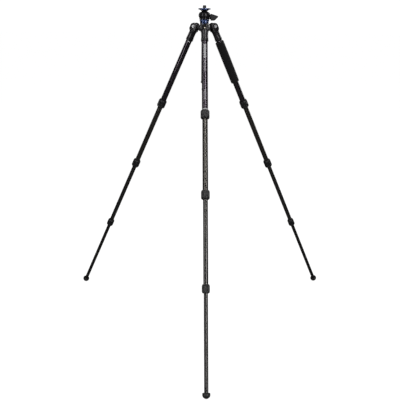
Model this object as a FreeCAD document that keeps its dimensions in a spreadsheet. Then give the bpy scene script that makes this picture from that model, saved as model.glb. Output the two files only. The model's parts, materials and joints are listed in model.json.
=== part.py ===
"""Four-section photo tripod with a centre column and a levelling ball head, as a parametric document.

Frame: millimetres, +Z up, origin on the floor at the centre of the bounding box. One leg points along -Y and
the other two along 30 and 150 degrees from +X, so the tripod's own axis stands a quarter of the foot circle's
radius towards +Y.

Every leg is drawn once in a frame of its own: the origin is the hinge bolt's centre, z runs up the leg's axis,
x points out and up, square to the leg, and y runs along the hinge bolt. A drop is a distance down the leg from
the hinge. The spider, the column and the head are drawn in the spider's frame: the origin is on the tripod's
axis at hinge height.
"""

import FreeCAD
import Part
import math
import os
import Sketcher

# name, millimetres or degrees
SIZES = (
    # stance
    ("leg_spread", 26.8),  # each leg to the vertical, on its first angle stop
    # leg sections, as drops and lengths along the leg
    ("lock_1_drop", 408.0),  # hinge to the top of the first twist lock
    ("reach_2", 331.0),  # how far the second section pulls out, lock to lock
    ("reach_3", 373.5),
    ("reach_4", 415.0),  # lock to foot
    ("lock_1_length", 41.0),
    ("lock_2_length", 41.5),
    ("lock_3_length", 39.0),
    ("lock_seat", 26.0),  # how far a tube's end goes into its lock
    # tubes and locks
    ("tube_1_od", 28.4),
    ("tube_wall", 1.0),
    ("nest_gap", 0.7),  # radial, between a tube's bore and the next tube, filled by the guide shims
    ("lock_1_wall", 6.3),  # a twist lock's outside, beyond the tube it turns on
    ("lock_2_wall", 6.95),
    ("lock_3_wall", 6.75),
    ("lock_chamfer", 2.5),
    ("flute_radius", 3.0),  # finger grooves down each twist lock
    ("flute_depth", 0.7),
    ("shim_length", 34.0),
    ("shim_inset", 5.0),  # top of the tube to its shims
    ("shim_cover", 6.0),  # the tube above reaches this far past the shims when pulled right out
    # foot
    ("foot_diameter", 35.3),
    ("foot_seat", 6.2),  # centre of the ball to its flat top
    ("foot_socket", 12.0),
    # leg crown
    ("crown_width", 38.0),
    ("ear_radius", 17.0),
    ("slot_floor_gap", 2.0),  # the spider's tooth to the slot's floor
    ("knuckle_drop", 24.0),
    ("knuckle_round", 5.0),
    ("sleeve_wall", 2.3),
    ("shoulder_rise", 2.0),  # the shoulder under the slot stands out from the sleeve
    ("sleeve_top_drop", 32.0),
    ("sleeve_end_drop", 62.0),
    ("band_length", 5.0),
    ("band_height", 0.5),
    ("tube_top_drop", 28.0),
    ("crown_ring_length", 11.0),
    ("crown_ring_rise", 0.9),
    # angle lock
    ("tab_gap", 0.5),  # round the tab, in its slot and from the lug and its tooth
    ("tab_plate", 3.2),
    ("tab_chamfer", 3.0),
    ("stop_height", 0.8),  # where the nose meets the spider's tooth
    ("tab_rise", 5.5),
    ("tab_lip", 6.5),  # the finger plate hangs this far below the slot's floor
    # grip
    ("grip_wall", 7.3),
    ("grip_drop", 81.0),
    ("grip_length", 219.0),
    ("grip_chamfer", 2.5),
    # hinge bolts
    ("bolt_diameter", 8.0),
    ("bolt_head_diameter", 14.0),
    ("bolt_head_height", 3.0),
    # spider
    ("lug_width", 18.0),
    ("lug_radius", 9.5),
    ("tooth_radius", 13.5),
    ("hub_radius", 27.0),
    ("hub_gap", 6.0),  # hub to the ears of the crowns
    ("hub_low", 21.0),
    ("hub_high", 6.5),
    ("hub_chamfer", 3.0),
    ("neck_wall", 4.4),
    ("neck_high", 25.0),
    # column
    ("column_od", 26.0),
    ("column_wall", 1.5),
    ("column_length", 290.0),
    ("collar_wall", 3.4),
    ("collar_step", 2.0),  # the upper tier stands out from the lower
    ("collar_tier", 9.0),  # height of the upper tier
    ("collar_lip", 6.6),  # thickness over the neck
    ("collar_chamfer", 1.2),
    ("plate_rim", 1.0),  # outside the pan ring's rib
    ("plate_thickness", 3.9),
    ("plate_plug", 20.0),
    ("end_cap_rim", 2.0),  # outside the column
    ("end_cap_thickness", 8.0),
    ("end_cap_plug", 15.0),
    ("hook_wire", 4.5),
    ("hook_shank", 22.0),  # from the middle of the end cap's plug down to the bend
    ("hook_radius", 9.0),
    # levelling ball head
    ("pan_ring_inset", 0.9),  # inside the rib
    ("pan_ring_height", 3.2),
    ("pan_rib_inset", 0.55),  # outside the housing's throat
    ("pan_rib_width", 1.2),
    ("pan_rib_height", 0.8),
    ("ball_radius", 22.0),
    ("ball_centre_rise", 15.3),  # top plate to ball centre
    ("ball_cut", 8.5),  # ball centre to its flat underside
    ("housing_foot_step", 0.2),  # outside the top plate
    ("housing_wall", 6.0),
    ("housing_low", 3.5),  # ball centre down to the widest part
    ("housing_high", 2.5),
    ("housing_mouth", 14.5),  # ball centre up to the mouth
    ("housing_rim_wall", 1.95),
    ("housing_lower_round", 13.0),
    ("housing_dome_round", 15.0),
    ("housing_throat_drop", 6.0),  # ball centre down to the end of the seat
    ("knob_drop", 8.2),  # ball centre down to the knob's axis
    ("boss_radius", 11.0),
    ("boss_rise", 1.0),  # outside the housing
    ("knob_shaft_diameter", 5.0),
    ("knob_shaft_gap", 0.55),  # ball to the end of the screw, unclamped
    ("knob_shaft_grip", 14.7),  # length of the screw in the knob
    ("knob_length", 35.7),
    ("knob_shoulder", 18.7),  # inner face to where the lower slope starts
    ("knob_half_width", 16.5),
    ("knob_thickness", 13.0),
    ("knob_tip_height", 5.0),
    ("knob_round", 2.0),
    ("mouth_gap", 4.5),  # housing's mouth to the underside of the ball's neck
    ("neck_rim", 5.25),  # the neck's foot, outside the ball at that height
    ("neck_flare", 2.0),  # foot to waist
    ("neck_top_flare", 3.5),  # waist to top
    ("neck_thickness", 2.5),  # over the top of the ball
    ("platform_overhang", 7.0),  # outside the neck's top
    ("platform_thickness", 6.8),
    ("platform_chamfer", 1.0),
    ("platform_recess", 0.6),  # a shallow seat round the screw, for the cap's foot
    ("screw_diameter", 9.525),  # three-eighths of an inch
    ("screw_rise", 9.5),
    ("screw_sink", 5.0),
    ("cap_diameter", 16.0),
    ("cap_top", 3.25),  # thickness over the screw
    ("cap_seat_gap", 0.8),  # radial, cap in its seat
    ("cap_chamfer", 1.5),
    # fits
    ("running_gap", 0.08),  # radial, between a shaft and its bore
    ("slide_gap", 0.1),  # radial, shim in tube
    ("end_gap", 0.3),  # between faces that turn past each other
    ("stop_gap", 0.05),
)
LEGS = (("front", -90), ("right", 30), ("left", 150))
GRIP_LEG = "right"
LOCK_FLUTES = 15
COLLAR_FLUTES = 18
SHIM_ANGLE = 168  # each half shell's share of the turn
HOOK_BEND = 60  # the turn that brings the ring's centre under its shank
SHEET = "Sizes"


class Size:
    """A length or angle: its number, and the spreadsheet expression that gives it."""

    def __init__(self, value, text):
        self.value = float(value)
        self.text = text

    def __add__(self, other):
        other = as_size(other)
        return Size(self.value + other.value, f"({self.text} + {other.text})")

    def __sub__(self, other):
        other = as_size(other)
        return Size(self.value - other.value, f"({self.text} - {other.text})")

    def __mul__(self, other):
        other = as_size(other)
        return Size(self.value * other.value, f"({self.text} * {other.text})")

    def __truediv__(self, other):
        other = as_size(other)
        return Size(self.value / other.value, f"({self.text} / {other.text})")

    def __neg__(self):
        return Size(-self.value, f"(0 - {self.text})")


def as_size(number):
    """Any number as a Size."""
    return number if isinstance(number, Size) else Size(number, f"({float(number)})")


def sine(angle):
    angle = as_size(angle)
    return Size(math.sin(math.radians(angle.value)), f"sin({angle.text})")


def cosine(angle):
    angle = as_size(angle)
    return Size(math.cos(math.radians(angle.value)), f"cos({angle.text})")


def leg_of(hypotenuse, side):
    """The other short side of a right triangle."""
    square = hypotenuse * hypotenuse - side * side
    return Size(math.sqrt(square.value), f"sqrt({square.text})")


def make_sheet(doc):
    """The spreadsheet of driving dimensions; returns each one as a Size by its name."""
    sheet = doc.addObject("Spreadsheet::Sheet", SHEET)
    sizes = {}
    for row, (name, number) in enumerate(SIZES, start=1):
        sheet.set(f"A{row}", name)
        sheet.set(f"B{row}", str(number))
        sheet.setAlias(f"B{row}", name)
        sizes[name] = Size(number, f"{SHEET}.{name}")
    doc.recompute()
    return sizes


DOC = FreeCAD.newDocument("Tripod")
DIM = make_sheet(DOC)


def d(name):
    return DIM[name]


# ---- places that several pieces share ----


def tube_radius(section):
    """Each tube is as much narrower than the one above as the wall and the nesting gap take."""
    return d("tube_1_od") / 2 - (d("tube_wall") + d("nest_gap")) * (section - 1)


def tube_bore(section):
    return tube_radius(section) - d("tube_wall")


LOCK_DROPS = [d("lock_1_drop")]
for upper, reach in ((1, "reach_2"), (2, "reach_3")):
    LOCK_DROPS.append(LOCK_DROPS[-1] + d(f"lock_{upper}_length") + d(reach))
LOCK_ENDS = [LOCK_DROPS[i] + d(f"lock_{i + 1}_length") for i in range(3)]
FOOT_TOP_DROP = LOCK_ENDS[2] + d("reach_4")
FOOT_RADIUS = d("foot_diameter") / 2
FOOT_CENTRE_DROP = FOOT_TOP_DROP + d("foot_seat")
HINGE_HEIGHT = FOOT_RADIUS + FOOT_CENTRE_DROP * cosine(d("leg_spread"))
HINGE_RADIUS = d("hub_radius") + d("hub_gap") + d("ear_radius")
FOOT_CIRCLE = HINGE_RADIUS + FOOT_CENTRE_DROP * sine(d("leg_spread"))
AXIS_Y = FOOT_CIRCLE / 4
COLUMN_RADIUS = d("column_od") / 2
COLUMN_BORE = COLUMN_RADIUS - d("column_wall")
NECK_RADIUS = COLUMN_RADIUS + d("running_gap") + d("neck_wall")
COLLAR_BORE = NECK_RADIUS + d("running_gap")
COLLAR_HIGH = d("neck_high") + d("end_gap") + d("collar_lip")
PLATE_LOW = COLLAR_HIGH + d("end_gap")
PLATE_HIGH = PLATE_LOW + d("plate_thickness")
COLUMN_END = PLATE_LOW - d("column_length")
BALL_CENTRE = PLATE_HIGH + d("ball_centre_rise")
KNOB_HEIGHT = BALL_CENTRE - d("knob_drop")
BALL_SEAT = d("ball_radius") + d("running_gap")
THROAT = leg_of(BALL_SEAT, d("housing_throat_drop"))
MOUTH = leg_of(BALL_SEAT, d("housing_mouth"))
RIB_INNER = THROAT + d("pan_rib_inset")
RIB_OUTER = RIB_INNER + d("pan_rib_width")
PLATE_RADIUS = RIB_OUTER + d("plate_rim")
HOUSING_RADIUS = d("ball_radius") + d("housing_wall")
BOSS_REACH = HOUSING_RADIUS + d("boss_rise")
KNOB_INNER = BOSS_REACH + d("end_gap")
SCREW_INNER = leg_of(d("ball_radius"), d("knob_drop") - d("knob_shaft_diameter") / 2) + d("knob_shaft_gap")
SCREW_OUTER = KNOB_INNER + d("knob_shaft_grip")
NECK_LOW = d("housing_mouth") + d("mouth_gap")
NECK_FOOT = leg_of(BALL_SEAT, NECK_LOW) + d("neck_rim")
NECK_WAIST = NECK_FOOT + d("neck_flare")
NECK_TOP_RADIUS = NECK_WAIST + d("neck_top_flare")
NECK_TOP = BALL_CENTRE + d("ball_radius") + d("neck_thickness")
PLATFORM_LOW = NECK_TOP + d("end_gap")
PLATFORM_HIGH = PLATFORM_LOW + d("platform_thickness")
BOLT_RADIUS = d("bolt_diameter") / 2
SLOT_WIDTH = d("lug_width") + d("end_gap") * 2
SLOT_DROP = d("tooth_radius") + d("slot_floor_gap")
SLEEVE_RADIUS = tube_radius(1) + d("sleeve_wall")
SHOULDER_RADIUS = SLEEVE_RADIUS + d("shoulder_rise")
TAB_LOW = SLOT_DROP + d("tab_lip")


def tube_top_drop(section):
    """Where a section's tube starts, down the leg from the hinge."""
    if section == 1:
        return d("tube_top_drop")
    return tube_end_drop(section - 1) - d("shim_inset") - d("shim_length") - d("shim_cover")


def tube_end_drop(section):
    """Where a section's tube ends: inside its twist lock, or inside the foot."""
    if section == 4:
        return FOOT_TOP_DROP + d("foot_socket")
    return LOCK_DROPS[section - 1] + d("lock_seat") - d("end_gap")


# ---- drawing helpers ----


def place_on_leg(body, azimuth):
    """Puts a piece drawn in the leg's frame on the leg at this azimuth."""
    x = HINGE_RADIUS * cosine(azimuth)
    y = AXIS_Y + HINGE_RADIUS * sine(azimuth)
    turn = f"rotation(vector(0; 0; 1); {azimuth})"
    lean = f"rotation(vector(0; 1; 0); 0 - {d('leg_spread').text})"
    base = f"vector({x.text}; {y.text}; {HINGE_HEIGHT.text})"
    body.setExpression("Placement", f"placement({base}; {turn} * {lean})")


def place_on_axis(body, turned=0):
    """Puts a piece drawn in the spider's frame on the tripod's axis."""
    turn = f"rotation(vector(0; 0; 1); {turned})"
    base = f"vector(0; {AXIS_Y.text}; {HINGE_HEIGHT.text})"
    body.setExpression("Placement", f"placement({base}; {turn})")


def new_body(label):
    body = DOC.addObject("PartDesign::Body", label)
    body.Label = label
    body.AllowCompound = True
    return body


def origin_feature(body, role):
    return next(f for f in body.Origin.OriginFeatures if f.Role == role)


def new_sketch(body, role, lift=None):
    """A sketch on one of the body's own origin planes, lifted off it along its normal if asked."""
    sketch = body.newObject("Sketcher::SketchObject", body.Name + "_sketch")
    sketch.AttachmentSupport = [(origin_feature(body, role), "")]
    sketch.MapMode = "FlatFace"
    if lift is not None:
        sketch.AttachmentOffset.Base.z = lift.value
        sketch.setExpression("AttachmentOffset.Base.z", lift.text)
    return sketch


def hold(sketch, kind, places, size):
    """One driving dimension, bound to its expression."""
    size = as_size(size)
    index = sketch.addConstraint(Sketcher.Constraint(kind, *places, size.value))
    sketch.setExpression(f"Constraints[{index}]", size.text)


def hold_point(sketch, place, x, y):
    """Fixes a point by its distances from the sketch's origin; 0 puts it on an axis."""
    for kind, axis, size in (("DistanceX", -2, x), ("DistanceY", -1, y)):
        if isinstance(size, int) and size == 0:
            sketch.addConstraint(Sketcher.Constraint("PointOnObject", *place, axis))
        else:
            hold(sketch, kind, (-1, 1, *place), size)


def arc_between(start, end, radius, side):
    """The short arc from start to end; side is 1 with its centre on the left, -1 on the right."""
    chord = end - start
    middle = start + chord * 0.5
    left = FreeCAD.Vector(-chord.y, chord.x, 0).normalize()
    height = math.sqrt(max(radius**2 - (chord.Length / 2) ** 2, 0))
    centre = middle + left * (height * side)
    first, last = (start, end) if side > 0 else (end, start)
    angles = [math.atan2(p.y - centre.y, p.x - centre.x) for p in (first, last)]
    circle = Part.Circle(centre, FreeCAD.Vector(0, 0, 1), radius)
    return Part.ArcOfCircle(circle, *angles)


def draw(body, role, steps, lift=None, closed=True):
    """A sketch outline. Each step is (x, y), or (x, y, radius, side) for an arc that ends there."""
    sketch = new_sketch(body, role, lift)
    spots = [FreeCAD.Vector(as_size(s[0]).value, as_size(s[1]).value, 0) for s in steps]
    ends = []  # each edge's index, and the codes of its first and last points
    first = 0 if closed else 1
    for i in range(first, len(steps)):
        start, end, step = spots[i - 1], spots[i], steps[i]
        if len(step) == 2:
            edge = sketch.addGeometry(Part.LineSegment(start, end), False)
            ends.append((edge, 1, 2))
            continue
        radius, side = as_size(step[2]), step[3]
        edge = sketch.addGeometry(arc_between(start, end, radius.value, side), False)
        ends.append((edge, 1, 2) if side > 0 else (edge, 2, 1))
    joints = range(len(ends)) if closed else range(1, len(ends))
    for i in joints:
        before, after = ends[i - 1], ends[i]
        place = (before[0], before[2], after[0], after[1])
        sketch.addConstraint(Sketcher.Constraint("Coincident", *place))
    for i, (edge, _, last) in enumerate(ends, start=first):
        hold_point(sketch, (edge, last), steps[i][0], steps[i][1])
        if len(steps[i]) > 2:
            hold(sketch, "Radius", (edge,), steps[i][2])
    if not closed:
        hold_point(sketch, (ends[0][0], ends[0][1]), steps[0][0], steps[0][1])
    return sketch


def draw_circle(body, role, x, y, radius, lift=None):
    sketch = new_sketch(body, role, lift)
    spot = FreeCAD.Vector(as_size(x).value, as_size(y).value, 0)
    circle = Part.Circle(spot, FreeCAD.Vector(0, 0, 1), radius.value)
    edge = sketch.addGeometry(circle, False)
    hold_point(sketch, (edge, 3), x, y)
    hold(sketch, "Radius", (edge,), radius)
    return sketch


def revolve(body, steps, kind="Revolution", angle=360, axis="V_Axis"):
    """Turns an outline of (radius, height) about z, as material or as a cut."""
    sketch = draw(body, "XZ_Plane", steps)
    feature = body.newObject("PartDesign::" + kind, f"{body.Name}_{kind}")
    feature.Profile = sketch
    feature.ReferenceAxis = (sketch, [axis])
    feature.Angle = angle
    return feature


def extrude(body, sketch, length=None, kind="Pad", both=True, reverse=False):
    """A pad or pocket: symmetric, or to one side; a pocket with no length goes through everything."""
    feature = body.newObject("PartDesign::" + kind, f"{body.Name}_{kind}")
    feature.Profile = sketch
    if both:
        feature.SideType = "Symmetric"
    feature.Reversed = reverse
    if length is None:
        feature.Type = "ThroughAll"
    else:
        length = as_size(length)
        feature.Length = length.value
        feature.setExpression("Length", length.text)
    return feature


def around(body, feature, count):
    """Repeats a feature evenly about z."""
    pattern = body.newObject("PartDesign::PolarPattern", f"{body.Name}_Pattern")
    pattern.Originals = [feature]
    pattern.Axis = (origin_feature(body, "Z_Axis"), [""])
    pattern.Angle = 360
    pattern.Occurrences = count
    body.Tip = pattern
    return pattern


def round_edges(body, feature, chosen, radius, kind="Fillet"):
    """Rounds or chamfers the edges of a feature that the test chooses."""
    DOC.recompute()
    names = [f"Edge{i}" for i, e in enumerate(feature.Shape.Edges, start=1) if chosen(e)]
    rounding = body.newObject("PartDesign::" + kind, f"{body.Name}_{kind}")
    rounding.Base = (feature, names)
    size = "Radius" if kind == "Fillet" else "Size"
    setattr(rounding, size, radius.value)
    rounding.setExpression(size, radius.text)
    return rounding


def flute(body, radius, top, bottom, count):
    """Finger grooves down the outside of a ring, from its top to its bottom."""
    middle = radius + d("flute_radius") - d("flute_depth")
    sketch = draw_circle(body, "XY_Plane", middle, 0, d("flute_radius"), lift=top)
    groove = extrude(body, sketch, top - bottom, kind="Pocket", both=False)
    return around(body, groove, count)


# ---- leg pieces, in the leg's frame ----


def leg_crown(label):
    """The casting at the top of a leg: two ears about the spider's lug, and a sleeve for the tube."""
    body = new_body(label)
    ear = d("ear_radius")
    low = -d("knuckle_drop")
    outline = [(ear, low), (ear, 0), (0, ear, ear, 1), (-ear, 0, ear, 1), (-ear, low)]
    knuckle = extrude(body, draw(body, "XZ_Plane", outline), d("crown_width"))
    half = d("crown_width").value / 2

    def on_outer_face(edge):
        return all(abs(abs(v.Y) - half) < 1e-4 for v in edge.Vertexes)

    round_edges(body, knuckle, on_outer_face, d("knuckle_round"))
    end = -d("sleeve_end_drop")
    band = end + d("band_length")
    sleeve, proud = SLEEVE_RADIUS, d("band_height")
    revolve(
        body,
        [
            (0, -SLOT_DROP),
            (SHOULDER_RADIUS, -SLOT_DROP - d("band_height")),
            (SHOULDER_RADIUS, low),
            (sleeve, -d("sleeve_top_drop")),
            (sleeve, band),
            (sleeve + proud, band - proud),
            (sleeve + proud, end + proud),
            (sleeve, end),
            (0, end),
        ],
    )
    side = SLOT_WIDTH / 2
    floor, above = -SLOT_DROP, ear * 2
    slot = [(-side, floor), (side, floor), (side, above), (-side, above)]
    extrude(body, draw(body, "YZ_Plane", slot), kind="Pocket")
    pin = draw_circle(body, "XZ_Plane", 0, 0, BOLT_RADIUS + d("running_gap"))
    extrude(body, pin, kind="Pocket")
    top, wall = -d("tube_top_drop"), tube_radius(1)
    revolve(body, [(0, top), (wall, top), (wall, end), (0, end)], kind="Groove")
    return body


def ring(label, inner, outer, top, bottom, chamfer):
    """A plain ring round z with chamfered outer edges."""
    body = new_body(label)
    revolve(
        body,
        [
            (inner, bottom),
            (outer - chamfer, bottom),
            (outer, bottom + chamfer),
            (outer, top - chamfer),
            (outer - chamfer, top),
            (inner, top),
        ],
    )
    return body


def crown_ring(label):
    top = -d("sleeve_end_drop")
    bottom = top - d("crown_ring_length")
    outer = SLEEVE_RADIUS + d("crown_ring_rise")
    return ring(label, tube_radius(1), outer, top, bottom, d("band_height"))


def leg_tube(label, section):
    """One section's tube."""
    body = new_body(label)
    top, bottom = -tube_top_drop(section), -tube_end_drop(section)
    inner, outer = tube_bore(section), tube_radius(section)
    revolve(body, [(inner, bottom), (outer, bottom), (outer, top), (inner, top)])
    return body


def twist_lock(label, section):
    """The ring that turns on the end of one section's tube and grips the next."""
    body = new_body(label)
    top = -LOCK_DROPS[section - 1]
    bottom = -LOCK_ENDS[section - 1]
    seat = top - d("lock_seat")
    outer, cut = tube_radius(section) + d(f"lock_{section}_wall"), d("lock_chamfer")
    above = tube_radius(section) + d("running_gap")
    below = tube_radius(section + 1) + d("running_gap")
    revolve(
        body,
        [
            (below, bottom),
            (outer - cut, bottom),
            (outer, bottom + cut),
            (outer, top - cut),
            (outer - cut, top),
            (above, top),
            (above, seat),
            (below, seat),
        ],
    )
    flute(body, outer, top, bottom, LOCK_FLUTES)
    return body


def shims(label, section):
    """The two half shells round the top of a tube that guide it in the tube above."""
    body = new_body(label)
    top = -tube_top_drop(section) - d("shim_inset")
    bottom = top - d("shim_length")
    inner = tube_radius(section)
    outer = tube_bore(section - 1) - d("slide_gap")
    outline = [(inner, bottom), (outer, bottom), (outer, top), (inner, top)]
    around(body, revolve(body, outline, angle=SHIM_ANGLE), 2)
    return body


def foot(label):
    """The rubber ball foot, flat on top, with a socket for the last tube."""
    body = new_body(label)
    top = -FOOT_TOP_DROP
    lowest = -FOOT_CENTRE_DROP - FOOT_RADIUS
    socket, inside = -tube_end_drop(4), tube_radius(4)
    rim = leg_of(FOOT_RADIUS, d("foot_seat"))
    outline = [(inside, top), (rim, top), (0, lowest, FOOT_RADIUS, -1), (0, socket), (inside, socket)]
    revolve(body, outline)
    return body


def angle_tab(label):
    """The pull-out tab: its nose bears on the spider's tooth, and its finger plate covers the slot."""
    body = new_body(label)
    stop = d("stop_height") - d("stop_gap")
    inner, back = d("lug_radius") + d("tab_gap"), d("tooth_radius") + d("tab_gap")
    clear = SHOULDER_RADIUS + d("end_gap")
    outer, nose = clear + d("tab_plate"), SLOT_DROP - d("tab_gap")
    outline = [
        (inner, -nose),
        (clear, -nose),
        (clear, -TAB_LOW),
        (outer, -TAB_LOW + d("tab_chamfer")),
        (outer, d("tab_rise") - d("tab_chamfer")),
        (outer - d("tab_chamfer"), d("tab_rise")),
        (back, d("tab_rise")),
        (back, stop),
        (inner, stop),
    ]
    extrude(body, draw(body, "XZ_Plane", outline), SLOT_WIDTH - d("tab_gap") * 2)
    return body


def grip(label):
    top = -d("grip_drop")
    bottom = top - d("grip_length")
    outer = tube_radius(1) + d("grip_wall")
    return ring(label, tube_radius(1), outer, top, bottom, d("grip_chamfer"))


# ---- spider and its bolts, in the spider's frame with x towards the front leg ----


def on_spider(x, z):
    """A point of the leg's frame, as radius and height in the spider's frame."""
    lean = d("leg_spread")
    radius = HINGE_RADIUS + x * cosine(lean) - z * sine(lean)
    return radius, x * sine(lean) + z * cosine(lean)


def spider(label):
    """The casting that carries the legs: a hub, a neck for the collar, and three lugs with stop teeth."""
    body = new_body(label)
    bore = COLUMN_RADIUS + d("running_gap")
    hub, low, high, cut = d("hub_radius"), -d("hub_low"), d("hub_high"), d("hub_chamfer")
    revolve(
        body,
        [
            (bore, low),
            (hub - cut, low),
            (hub, low + cut),
            (hub, high - cut / 2),
            (hub - cut / 2, high),
            (NECK_RADIUS, high),
            (NECK_RADIUS, d("neck_high")),
            (bore, d("neck_high")),
        ],
    )
    lug, tooth, stop = d("lug_radius"), d("tooth_radius"), d("stop_height")
    centre = HINGE_RADIUS
    inner = (NECK_RADIUS + hub) / 2
    tooth_foot = on_spider(leg_of(lug, stop), stop)
    tooth_tip = on_spider(leg_of(tooth, stop), stop)
    tooth_back = centre + leg_of(tooth, lug)
    outline = [
        (inner, -lug),
        (centre, -lug),
        (centre + lug, 0, lug, 1),
        (tooth_foot[0], tooth_foot[1], lug, 1),
        tooth_tip,
        (tooth_back, lug, tooth, 1),
        (centre - lug, lug),
        (hub, high),
        (inner, high),
    ]
    around(body, extrude(body, draw(body, "XZ_Plane", outline), d("lug_width")), len(LEGS))
    hole = draw_circle(body, "XZ_Plane", centre, 0, BOLT_RADIUS)
    drilled = extrude(body, hole, d("crown_width"), kind="Pocket")
    around(body, drilled, len(LEGS))
    return body


def hinge_bolts(label):
    """Three bolts with domed heads, one through each lug and its ears."""
    body = new_body(label)
    middle = HINGE_RADIUS
    reach = d("crown_width") / 2 + d("end_gap")
    end = reach + d("bolt_head_height")
    shank, head = BOLT_RADIUS, d("bolt_head_diameter") / 2
    crown = d("bolt_head_height") / 3
    # the closing edge, from the last point to the first, lies on the bolt's own axis
    outline = [
        (middle, -end),
        (middle + head - crown, -end),
        (middle + head, -end + crown),
        (middle + head, -reach),
        (middle + shank, -reach),
        (middle + shank, reach),
        (middle + head, reach),
        (middle + head, end - crown),
        (middle + head - crown, end),
        (middle, end),
    ]
    sketch = draw(body, "XY_Plane", outline)
    turned = body.newObject("PartDesign::Revolution", label + "_turned")
    turned.Profile = sketch
    turned.ReferenceAxis = (sketch, ["Edge1"])
    turned.Angle = 360
    around(body, turned, len(LEGS))
    return body


# ---- column, in the spider's frame ----


def column_collar(label):
    """The two-tier twist collar on the spider's neck that clamps the column."""
    body = new_body(label)
    bottom, top = d("hub_high") + d("end_gap"), COLLAR_HIGH
    step, cut = top - d("collar_tier"), d("collar_chamfer")
    thread = COLLAR_BORE
    lip = COLUMN_RADIUS + d("end_gap")
    low = thread + d("collar_wall")
    wide = low + d("collar_step")
    revolve(
        body,
        [
            (thread, bottom),
            (low - cut, bottom),
            (low, bottom + cut),
            (low, step),
            (wide, step),
            (wide, top - cut),
            (wide - cut, top),
            (lip, top),
            (lip, d("neck_high") + d("end_gap")),
            (thread, d("neck_high") + d("end_gap")),
        ],
    )
    flute(body, wide, top, step, COLLAR_FLUTES)
    return body


def centre_column(label):
    body = new_body(label)
    inner, outer = COLUMN_BORE, COLUMN_RADIUS
    revolve(body, [(inner, COLUMN_END), (outer, COLUMN_END), (outer, PLATE_LOW), (inner, PLATE_LOW)])
    return body


def top_plate(label):
    """The flange on top of the column, with a plug inside the tube."""
    body = new_body(label)
    plug, wide, cut = COLUMN_BORE, PLATE_RADIUS, d("platform_chamfer")
    revolve(
        body,
        [
            (0, PLATE_LOW - d("plate_plug")),
            (plug, PLATE_LOW - d("plate_plug")),
            (plug, PLATE_LOW),
            (wide - cut, PLATE_LOW),
            (wide, PLATE_LOW + cut),
            (wide, PLATE_HIGH),
            (0, PLATE_HIGH),
        ],
    )
    return body


def column_end_cap(label):
    """The cap that stops the column leaving the spider, bored for the hook's shank."""
    body = new_body(label)
    bore = d("hook_wire") / 2 + d("running_gap")
    wide, cut = COLUMN_RADIUS + d("end_cap_rim"), d("hub_chamfer") / 2
    low = COLUMN_END - d("end_cap_thickness")
    high = COLUMN_END + d("end_cap_plug")
    revolve(
        body,
        [
            (bore, low),
            (wide - cut, low),
            (wide, low + cut),
            (wide, COLUMN_END),
            (COLUMN_BORE, COLUMN_END),
            (COLUMN_BORE, high),
            (bore, high),
        ],
    )
    return body


def weight_hook(label):
    """A bent wire hook: a shank up the end cap, a sixth of a turn aside, and three quarters of a ring."""
    body = new_body(label)
    start = COLUMN_END + d("end_cap_plug")
    bend = COLUMN_END - d("hook_shank")
    turn = d("hook_radius")
    centre = bend - turn * sine(HOOK_BEND) * 2
    path = [
        (0, start),
        (0, bend),
        (-turn * cosine(HOOK_BEND), bend - turn * sine(HOOK_BEND), turn, -1),
        (-turn, centre, turn, 1),
        (0, centre - turn, turn, 1),
        (turn, centre, turn, 1),
        (turn * sine(HOOK_BEND), centre + turn * cosine(HOOK_BEND), turn, 1),
    ]
    spine = draw(body, "XZ_Plane", path, closed=False)
    wire = draw_circle(body, "XY_Plane", 0, 0, d("hook_wire") / 2, lift=start)
    pipe = body.newObject("PartDesign::AdditivePipe", label + "_pipe")
    pipe.Profile = wire
    pipe.Spine = spine
    return body


# ---- levelling ball head, in the spider's frame ----


def pan_base(label):
    """The ring on the top plate that the housing turns on, with a guide rib."""
    body = new_body(label)
    top = PLATE_HIGH + d("pan_ring_height")
    rib = top + d("pan_rib_height")
    inner = RIB_INNER - d("pan_ring_inset")
    revolve(
        body,
        [
            (inner, PLATE_HIGH),
            (PLATE_RADIUS, PLATE_HIGH),
            (PLATE_RADIUS, top),
            (RIB_OUTER, top),
            (RIB_OUTER, rib),
            (RIB_INNER, rib),
            (RIB_INNER, top),
            (inner, top),
        ],
    )
    return body


def head_housing(label):
    """The domed shell round the ball, with a boss for the lock knob's screw."""
    body = new_body(label)
    base = PLATE_HIGH + d("pan_ring_height") + d("end_gap")
    wide = HOUSING_RADIUS
    mouth = BALL_CENTRE + d("housing_mouth")
    revolve(
        body,
        [
            (0, base),
            (PLATE_RADIUS + d("housing_foot_step"), base),
            (wide, BALL_CENTRE - d("housing_low"), d("housing_lower_round"), 1),
            (wide, BALL_CENTRE + d("housing_high")),
            (MOUTH + d("housing_rim_wall"), mouth, d("housing_dome_round"), 1),
            (0, mouth),
        ],
    )
    boss_start = PLATE_RADIUS + d("end_gap") * 2
    middle = (boss_start + BOSS_REACH) / 2
    boss = draw_circle(body, "YZ_Plane", 0, KNOB_HEIGHT, d("boss_radius"), lift=middle)
    extrude(body, boss, BOSS_REACH - boss_start)
    revolve(
        body,
        [
            (0, base),
            (THROAT, base),
            (THROAT, BALL_CENTRE - d("housing_throat_drop")),
            (BALL_SEAT, BALL_CENTRE, BALL_SEAT, 1),
            (MOUTH, mouth, BALL_SEAT, 1),
            (0, mouth),
        ],
        kind="Groove",
    )
    rib_top = base + d("pan_rib_height")
    inner, outer = RIB_INNER - d("running_gap"), RIB_OUTER + d("running_gap")
    revolve(body, [(inner, base), (outer, base), (outer, rib_top), (inner, rib_top)], kind="Groove")
    shaft = d("knob_shaft_diameter") / 2 + d("running_gap")
    hole = draw_circle(body, "YZ_Plane", 0, KNOB_HEIGHT, shaft, lift=middle)
    extrude(body, hole, BOSS_REACH, kind="Pocket")
    return body


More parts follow.
